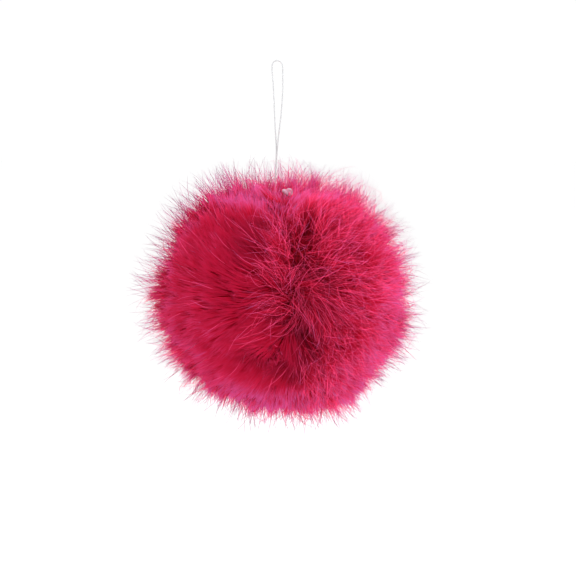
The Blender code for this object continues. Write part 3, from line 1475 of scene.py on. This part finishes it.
@dataclass
class FurBall:
    """The whole ball of fur: the pelt and every coat of hair on it."""

    tint: bpy.types.NodeTree
    pelt: Pelt = field(default_factory=Pelt)

    def coats(self) -> list[HairCoat]:
        """Lists the coats from the pelt outwards.

        Returns:
            The coats, short and dense first, long and thin last.
        """
        # Root colours are darker with painted shade deep in the fur; the pink tip colours of the
        # underfur, silky, top and guard coats give painted rim light where the shade is high.
        deep = HairFinish(
            "underfur_dye",
            root=(0.50, 0.0010, 0.010, 1.0), body=(0.68, 0.0095, 0.055, 1.0),
            tip=(0.72, 0.125, 0.420, 1.0), darkest=0.27, lightest=1.18, streaks=0.04,
            pink_from=0.70, sheen=0.18, see_through=0.45,
        )
        silky = HairFinish(
            "silky_dye",
            root=(0.50, 0.002, 0.014, 1.0), body=(0.68, 0.004, 0.036, 1.0),
            tip=(0.75, 0.205, 0.590, 1.0), streaks=0.08, pink_from=0.60, sheen=0.08,
        )
        bright = HairFinish(
            "bright_dye",
            root=(0.50, 0.003, 0.022, 1.0), body=(0.95, 0.050, 0.160, 1.0),
            tip=(0.80, 0.185, 0.600, 1.0), darkest=0.45, lightest=1.2, pink_from=0.76,
            sheen=0.05,
        )
        guard = HairFinish(
            "guard_hair_dye",
            root=(0.60, 0.010, 0.050, 1.0), body=(0.95, 0.070, 0.215, 1.0),
            tip=(0.80, 0.130, 0.420, 1.0), sheen=0.10,
        )
        wispy = HairFinish(
            "wisp_dye",
            root=(0.70, 0.010, 0.060, 1.0), body=(0.56, 0.062, 0.240, 1.0),
            tip=(0.29, 0.092, 0.220, 1.0), see_through=0.2, sheen=0.3,
        )
        under = {"steps": 3, "unruly_shade": -0.5, "rim_light_lift": 0.5, "calm": 0.85}
        return [
            HairCoat(
                "soft_underfur", deep, count=33000, seed=11, root_share=0.79, tip_share=0.90,
                tip_spread=0.6 * MM, width=0.42 * MM, gather=0.2, shade_spread=0.02,
                tidy_rise=1.0 * MM, **under,
            ),
            HairCoat(
                "underfur", deep, count=38000, seed=12, root_share=0.80, tip_share=0.92,
                tip_spread=0.9 * MM, width=0.28 * MM, gather=0.65, shade_spread=0.03,
                tidy_rise=1.6 * MM, **under,
            ),
            HairCoat(
                "silky_fur", silky, count=27000, seed=13, root_share=0.81, tip_share=0.96,
                tip_spread=1.0 * MM, width=0.15 * MM, tidy_share=0.0, stray=0.18,
                gather=0.85, unruly_shade=-0.1, rim_light_lift=0.42, softness=0.6,
            ),
            HairCoat(
                "top_fur", bright, count=17000, seed=14, root_share=0.83, tip_share=0.98,
                tip_spread=1.3 * MM, width=0.19 * MM, tidy_share=0.0, lean=0.9, stray=0.70,
                curl=0.18, veil=1.0, gather=0.15, shade=0.6, shade_spread=0.28,
                unruly_shade=0.45, rim_light_lift=0.34, softness=0.35,
            ),
            HairCoat(
                "guard_hair", guard, count=2400, seed=15, root_share=0.84, tip_share=1.0,
                tip_spread=1.4 * MM, width=0.19 * MM, section=HairSection.ROUND, steps=5,
                tidy_share=0.05, lean=1.15, stray=0.60, curl=0.20, extra_reach=1.8 * MM,
                gather=0.1, shade=0.65, shade_spread=0.14, unruly_shade=0.3, softness=0.3,
            ),
            HairCoat(
                "wisps", wispy, count=12300, seed=16, root_share=0.90, tip_share=1.0,
                tip_spread=4.1 * MM, width=0.125 * MM, tidy_share=0.5, front_share=0.004,
                back_share=0.20, lean=0.35, stray=0.22, curl=0.07, extra_reach=2.4 * MM,
                calm=0.0, gather=0.2, shade=0.7, shade_spread=0.14, softness=0.4, taper=0.55,
            ),
        ]

    def build(self, form: BallForm, nap: Nap) -> list[bpy.types.Object]:
        """Builds the pelt and the coats.

        Args:
            form: The ball's form.
            nap: How the hair is combed.

        Returns:
            The pieces.
        """
        pieces = [self.pelt.build(form, nap, PeltFinish())]
        for coat in self.coats():
            pieces.append(coat.build(form, nap, self.tint))
        return pieces


# ---------------------------------------------------------------------------
# Thread and knot
# ---------------------------------------------------------------------------
def smooth_route(places: np.ndarray, steps: int) -> np.ndarray:
    """Draws a Catmull-Rom curve through some places.

    Args:
        places: What the curve passes through, in order.
        steps: How many points it has from each place to the next.

    Returns:
        Closely spaced points on the curve.
    """
    ends = (2 * places[0] - places[1], 2 * places[-1] - places[-2])
    padded = np.vstack((ends[0], places, ends[1]))
    share = (np.arange(steps) / steps)[:, None]
    parts = []
    for before, start, end, after in zip(padded, padded[1:], padded[2:], padded[3:]):
        parts.append(0.5 * (
            2 * start
            + (end - before) * share
            + (2 * before - 5 * start + 4 * end - after) * share ** 2
            + (3 * start - before - 3 * end + after) * share ** 3
        ))
    return np.vstack((*parts, places[-1]))


def lengths_along(points: np.ndarray) -> np.ndarray:
    """Distance along a line of points, up to each of them."""
    return np.concatenate(([0.0], np.cumsum(np.linalg.norm(np.diff(points, axis=0), axis=1))))


def evenly_spaced(points: np.ndarray, spacing: float) -> np.ndarray:
    """Spaces points evenly along a line.

    Args:
        points: The line's own points.
        spacing: About how far apart the new ones are.

    Returns:
        The new points, from the line's first point to its last.
    """
    run = lengths_along(points)
    count = max(int(round(run[-1] / spacing)) + 1, 4)
    wanted = np.linspace(0.0, run[-1], count)
    return np.stack([np.interp(wanted, run, points[:, axis]) for axis in range(3)], axis=1)


def turn_about(axis: int, degrees: float) -> np.ndarray:
    """Finds the matrix that turns places about one axis.

    Args:
        axis: The axis, 0 for X, 1 for Y and 2 for Z.
        degrees: How far they turn.

    Returns:
        The matrix.
    """
    angle = math.radians(degrees)
    first, second = (axis + 1) % 3, (axis + 2) % 3
    matrix = np.eye(3)
    matrix[first, first] = matrix[second, second] = math.cos(angle)
    matrix[first, second] = -math.sin(angle)
    matrix[second, first] = math.sin(angle)
    return matrix


@dataclass
class TwistedThread:
    """A thread of plies twisted together, as one skin with grooves between them."""

    diameter: float
    plies: int = 3
    pitch: float = 1.3 * MM
    groove: float = 0.12
    sides: int = 15
    spacing: float = 0.11 * MM
    off_axis: tuple = (0.31, 0.9, 0.21)
    end_width: Growth = Growth(0.45, 0.55)

    def rings(self, line: np.ndarray, run: np.ndarray, turn: np.ndarray) -> np.ndarray:
        """Sets a ring of skin points round each point of a line.

        Args:
            line: Points along the thread's middle.
            run: The distance along the line up to each of them.
            turn: The angles of a ring's points.

        Returns:
            The points, as rings by points by coordinates.
        """
        tangents = unit(np.gradient(line, axis=0))
        side = np.cross(tangents[0], self.off_axis)
        sides = []
        for tangent in tangents:
            side = unit(side - tangent * (side @ tangent))
            sides.append(side)
        first = np.array(sides)
        second = np.cross(tangents, first)
        ply = self.plies * (turn[None, :] - run[:, None] / self.pitch * math.tau)
        radius = self.diameter / 2 * (1.0 - self.groove * (0.5 - 0.5 * np.cos(ply)) ** 2)
        ends = np.minimum(run, run[-1] - run)
        radius *= self.end_width.at(smooth_step(0.0, self.diameter, ends))[:, None]
        outward = (
            np.cos(turn)[None, :, None] * first[:, None]
            + np.sin(turn)[None, :, None] * second[:, None]
        )
        return line[:, None] + radius[..., None] * outward

    def faces(self, count: int) -> list[np.ndarray]:
        """Joins the rings with faces, and closes both ends.

        Args:
            count: How many rings there are. The foot's and the head's middle
                points come after all of them.

        Returns:
            The four-sided faces and the three-sided ones.
        """
        turns = np.arange(self.sides)
        rows, columns = np.meshgrid(np.arange(count - 1), turns, indexing="ij")
        across_to = (columns + 1) % self.sides
        quads = np.stack((
            rows * self.sides + columns,
            rows * self.sides + across_to,
            (rows + 1) * self.sides + across_to,
            (rows + 1) * self.sides + columns,
        ), axis=-1).reshape(-1, 4)
        foot, head = count * self.sides, count * self.sides + 1
        after = (turns + 1) % self.sides
        last = (count - 1) * self.sides
        caps = np.vstack((
            np.stack((np.full(self.sides, foot), after, turns), axis=1),
            np.stack((np.full(self.sides, head), last + turns, last + after), axis=1),
        ))
        return [quads, caps]

    def skin(self, name: str, route: np.ndarray) -> bpy.types.Object:
        """Skins a route.

        Args:
            name: The object's name.
            route: Points along the thread's middle.

        Returns:
            The mesh object.
        """
        line = evenly_spaced(route, self.spacing)
        run = lengths_along(line)
        turn = np.arange(self.sides) / self.sides * math.tau
        rings = self.rings(line, run, turn)
        points = np.vstack((rings.reshape(-1, 3), line[0], line[-1]))
        around = np.abs(2.0 * turn / math.tau - 1.0)
        uv = np.stack(np.broadcast_arrays(around[None, :], (run / run[-1])[:, None]), axis=-1)
        uv = np.vstack((uv.reshape(-1, 2), (0.5, 0.0), (0.5, 1.0)))
        return mesh_object(name, points, self.faces(len(line)), uv)


@dataclass
class HangingLoop:
    """The thread loop that the ball hangs on."""

    diameter: float = 0.45 * MM
    left: tuple = (
        (-0.74, 0.36, -42.1), (-0.59, 0.36, -36.3), (-0.41, 0.34, -31.9), (-0.28, 0.30, -28.4),
        (-0.33, 0.24, -25.4), (-0.63, 0.12, -20.2), (-0.91, 0.04, -13.6), (-1.19, 0.0, -7.6),
        (-1.60, 0.0, -2.2),
    )
    top: tuple = ((-1.24, 0.0, -0.46), (0.0, 0.0, 0.225), (1.24, 0.0, -0.46))
    right: tuple = (
        (1.64, 0.0, -2.2), (1.60, 0.0, -10.4), (1.03, -0.06, -17.4), (0.34, -0.16, -23.0),
        (-0.05, -0.28, -27.4), (-0.41, -0.34, -31.9), (-0.59, -0.36, -36.3), (-0.74, -0.36, -42.1),
    )
    route_steps: int = 24

    def route(self) -> np.ndarray:
        """Fine points along the thread: up the left, round the top, down the right."""
        places = np.array(self.left + self.top + self.right) * MM
        return smooth_route(places, self.route_steps)

    def build(self, finish: bpy.types.Material) -> bpy.types.Object:
        """Args:
            finish: The thread's material.

        Returns:
            The loop's object.
        """
        route = self.route()
        loop = TwistedThread(self.diameter).skin("thread_loop", route)
        loop.data.materials.append(finish)
        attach(loop, "root")
        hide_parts("hanging_thread")
        return loop


@dataclass
class ClosingKnot:
    """The overhand knot that closes the pelt, with short trimmed ends."""

    place: tuple = (3.1, -0.6, -40.1)
    tilt: float = 52.0
    turn: float = 12.0
    strand: float = 1.20 * MM
    lobe: float = 0.42 * MM
    rise: float = 0.50 * MM
    tail: float = 0.4 * MM
    roll: float = -8.0
    gap: float = 24.0
    samples: int = 160
    kept_every: int = 6
    route_steps: int = 8

    def route(self) -> np.ndarray:
        """Draws the knot: a trefoil left open, with a straight tail at each end.

        Returns:
            Fine points along it, tail to tail.
        """
        gap = math.radians(self.gap)
        sweep = np.linspace(math.pi + gap, 3.0 * math.pi - gap, self.samples)
        points = np.stack((
            self.lobe * (np.sin(sweep) + 2.0 * np.sin(2.0 * sweep)),
            self.lobe * (np.cos(sweep) - 2.0 * np.cos(2.0 * sweep)),
            -self.rise * np.sin(3.0 * sweep),
        ), axis=1)
        tails = []
        for end, before in ((0, 1), (-1, -2)):
            outward = unit(points[end] * (1.0, 1.0, 0.0))
            onward = unit(points[end] - points[before])
            tails.append(points[end] + unit(outward + onward) * self.tail)
        points = np.vstack((tails[0], points[::self.kept_every], tails[1]))
        turned = turn_about(2, self.turn) @ turn_about(0, self.tilt) @ turn_about(2, self.roll)
        return smooth_route(points @ turned.T + np.array(self.place) * MM, self.route_steps)

    def build(self, finish: bpy.types.Material) -> bpy.types.Object:
        """Builds the knot.

        Args:
            finish: The thread's material.

        Returns:
            The knot's object.
        """
        thread = TwistedThread(self.strand, plies=2, pitch=1.6 * MM, groove=0.15, spacing=0.08 * MM)
        knot = thread.skin("thread_knot", self.route())
        knot.data.materials.append(finish)
        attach(knot, "root")
        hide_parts("closing_knot")
        return knot


# ---------------------------------------------------------------------------
# The studio
# ---------------------------------------------------------------------------
@dataclass(frozen=True)
class Lamp:
    """A soft area light that looks at the ball."""

    name: str
    azimuth: float
    elevation: float
    distance: float
    size: float
    watts: float
    tint: tuple = (1.0, 1.0, 1.0)

    def build(self, target: np.ndarray) -> bpy.types.Object:
        """Adds the light.

        Args:
            target: What the light looks at.

        Returns:
            The light's object.
        """
        data = bpy.data.lights.new(self.name, "AREA")
        data.shape = "DISK"
        data.size = self.size
        data.energy = self.watts
        data.color = self.tint
        light = bpy.data.objects.new(self.name, data)
        way = direction(self.azimuth, self.elevation)
        light.location = target + way * self.distance
        light.rotation_euler = Vector(way).to_track_quat("Z", "Y").to_euler()
        bpy.context.scene.collection.objects.link(light)
        return light


@dataclass
class Studio:
    """Floor, light and camera."""

    image_px: int = 576
    scale: float = 0.3125 * MM
    ball_px: tuple = (281.0, 295.0)
    elevation: float = 8.0
    lens: float = 100.0
    sensor: float = 36.0
    sight: float = 50.0
    floor_drop: float = 0.32
    floor_size: float = 12.0
    backdrop: float = 1.02
    sky: float = 0.68
    lamps: tuple = (
        Lamp("key_light", 50.0, 34.0, 0.9, 0.7, 3.0),
        Lamp("fill_light", -58.0, 22.0, 1.1, 0.9, 2.4),
        Lamp("front_light", 12.0, 30.0, 1.1, 0.6, 3.8),
        Lamp("low_light", -70.0, -15.0, 1.0, 0.8, 1.1),
        Lamp("top_light", 180.0, 62.0, 0.9, 0.7, 7.0),
        Lamp("left_rim_light", -118.0, 0.0, 0.9, 0.7, 2.6),
        Lamp("right_rim_light", 112.0, 8.0, 0.9, 0.7, 3.2, tint=(0.78, 0.94, 1.0)),
    )

    def build_floor(self, target: np.ndarray) -> bpy.types.Object:
        """Lays the floor well below the ball.

        Args:
            target: The ball's middle.

        Returns:
            The floor's object.
        """
        bpy.ops.mesh.primitive_plane_add(size=self.floor_size)
        floor = bpy.context.object
        floor.name = "studio_floor"
        floor.location = (target[0], target[1], target[2] - self.floor_drop)
        floor.data.materials.append(FloorFinish().make())
        return floor

    def build_sky(self) -> None:
        """Lights the room softly and evenly, in front of a brighter white backdrop."""
        world = bpy.data.worlds.new("studio")
        bpy.context.scene.world = world
        world.use_nodes = True
        graph = Graph(world.node_tree)
        seen = graph.add("LightPath").outputs["Is Camera Ray"]
        strength = graph.math("MULTIPLY_ADD", seen, self.backdrop - self.sky, self.sky)
        background = graph.add("Background", Strength=strength)
        background.inputs["Color"].default_value = (1.0, 1.0, 1.0, 1.0)
        graph.add("OutputWorld", Surface=background.outputs[0])

    def build_camera(self, target: np.ndarray) -> bpy.types.Object:
        """Sets the camera so that the ball's middle falls on its pixel.

        Args:
            target: The ball's middle.

        Returns:
            The camera.
        """
        data = bpy.data.cameras.new("camera")
        data.lens = self.lens
        data.sensor_width = self.sensor
        data.sensor_fit = "HORIZONTAL"
        data.clip_end = self.sight
        camera = bpy.data.objects.new("camera", data)
        bpy.context.scene.collection.objects.link(camera)
        span = self.image_px * self.scale
        distance = span * self.lens / self.sensor
        back = direction(0.0, self.elevation)
        right = np.array((1.0, 0.0, 0.0))
        above = np.cross(right, -back)
        middle = self.image_px / 2
        aim = target + self.scale * (
            (middle - self.ball_px[0]) * right + (self.ball_px[1] - middle) * above
        )
        camera.location = aim + back * distance
        camera.rotation_euler = Vector(back).to_track_quat("Z", "Y").to_euler()
        bpy.context.scene.camera = camera
        return camera

    def build(self, target: np.ndarray) -> None:
        """Builds the whole studio.

        Args:
            target: The ball's middle.
        """
        bpy.context.scene.view_settings.view_transform = "Standard"
        self.build_sky()
        self.build_floor(target)
        for lamp in self.lamps:
            lamp.build(target)
        self.build_camera(target)


def main() -> None:
    """Builds the studio, the thread, the knot and the fur."""
    logging.basicConfig(level=logging.INFO, format="%(name)s: %(message)s")
    form = BallForm.from_node("fur_ball")
    nap = Nap(Parting(form.centre))
    Studio().build(form.centre)
    fibres = PlyFibres().group()
    white = ThreadFinish()
    # The knot's pink is partly dye dust and partly painted light bounced from the fur round it.
    dusted_and_fur_lit = ThreadFinish(
        "dye_dust_and_fur_light_thread", light=(0.50, 0.29, 0.38, 1.0), shaded=(0.46, 0.22, 0.32, 1.0)
    )
    pieces = [HangingLoop().build(white.make(fibres)), ClosingKnot().build(dusted_and_fur_lit.make(fibres))]
    pieces += FurBall(HairTint().group()).build(form, nap)
    for piece in pieces:
        piece.data.calc_loop_triangles()
        log.info("%s: %d triangles", piece.name, len(piece.data.loop_triangles))


if __name__ == "__main__":
    main()
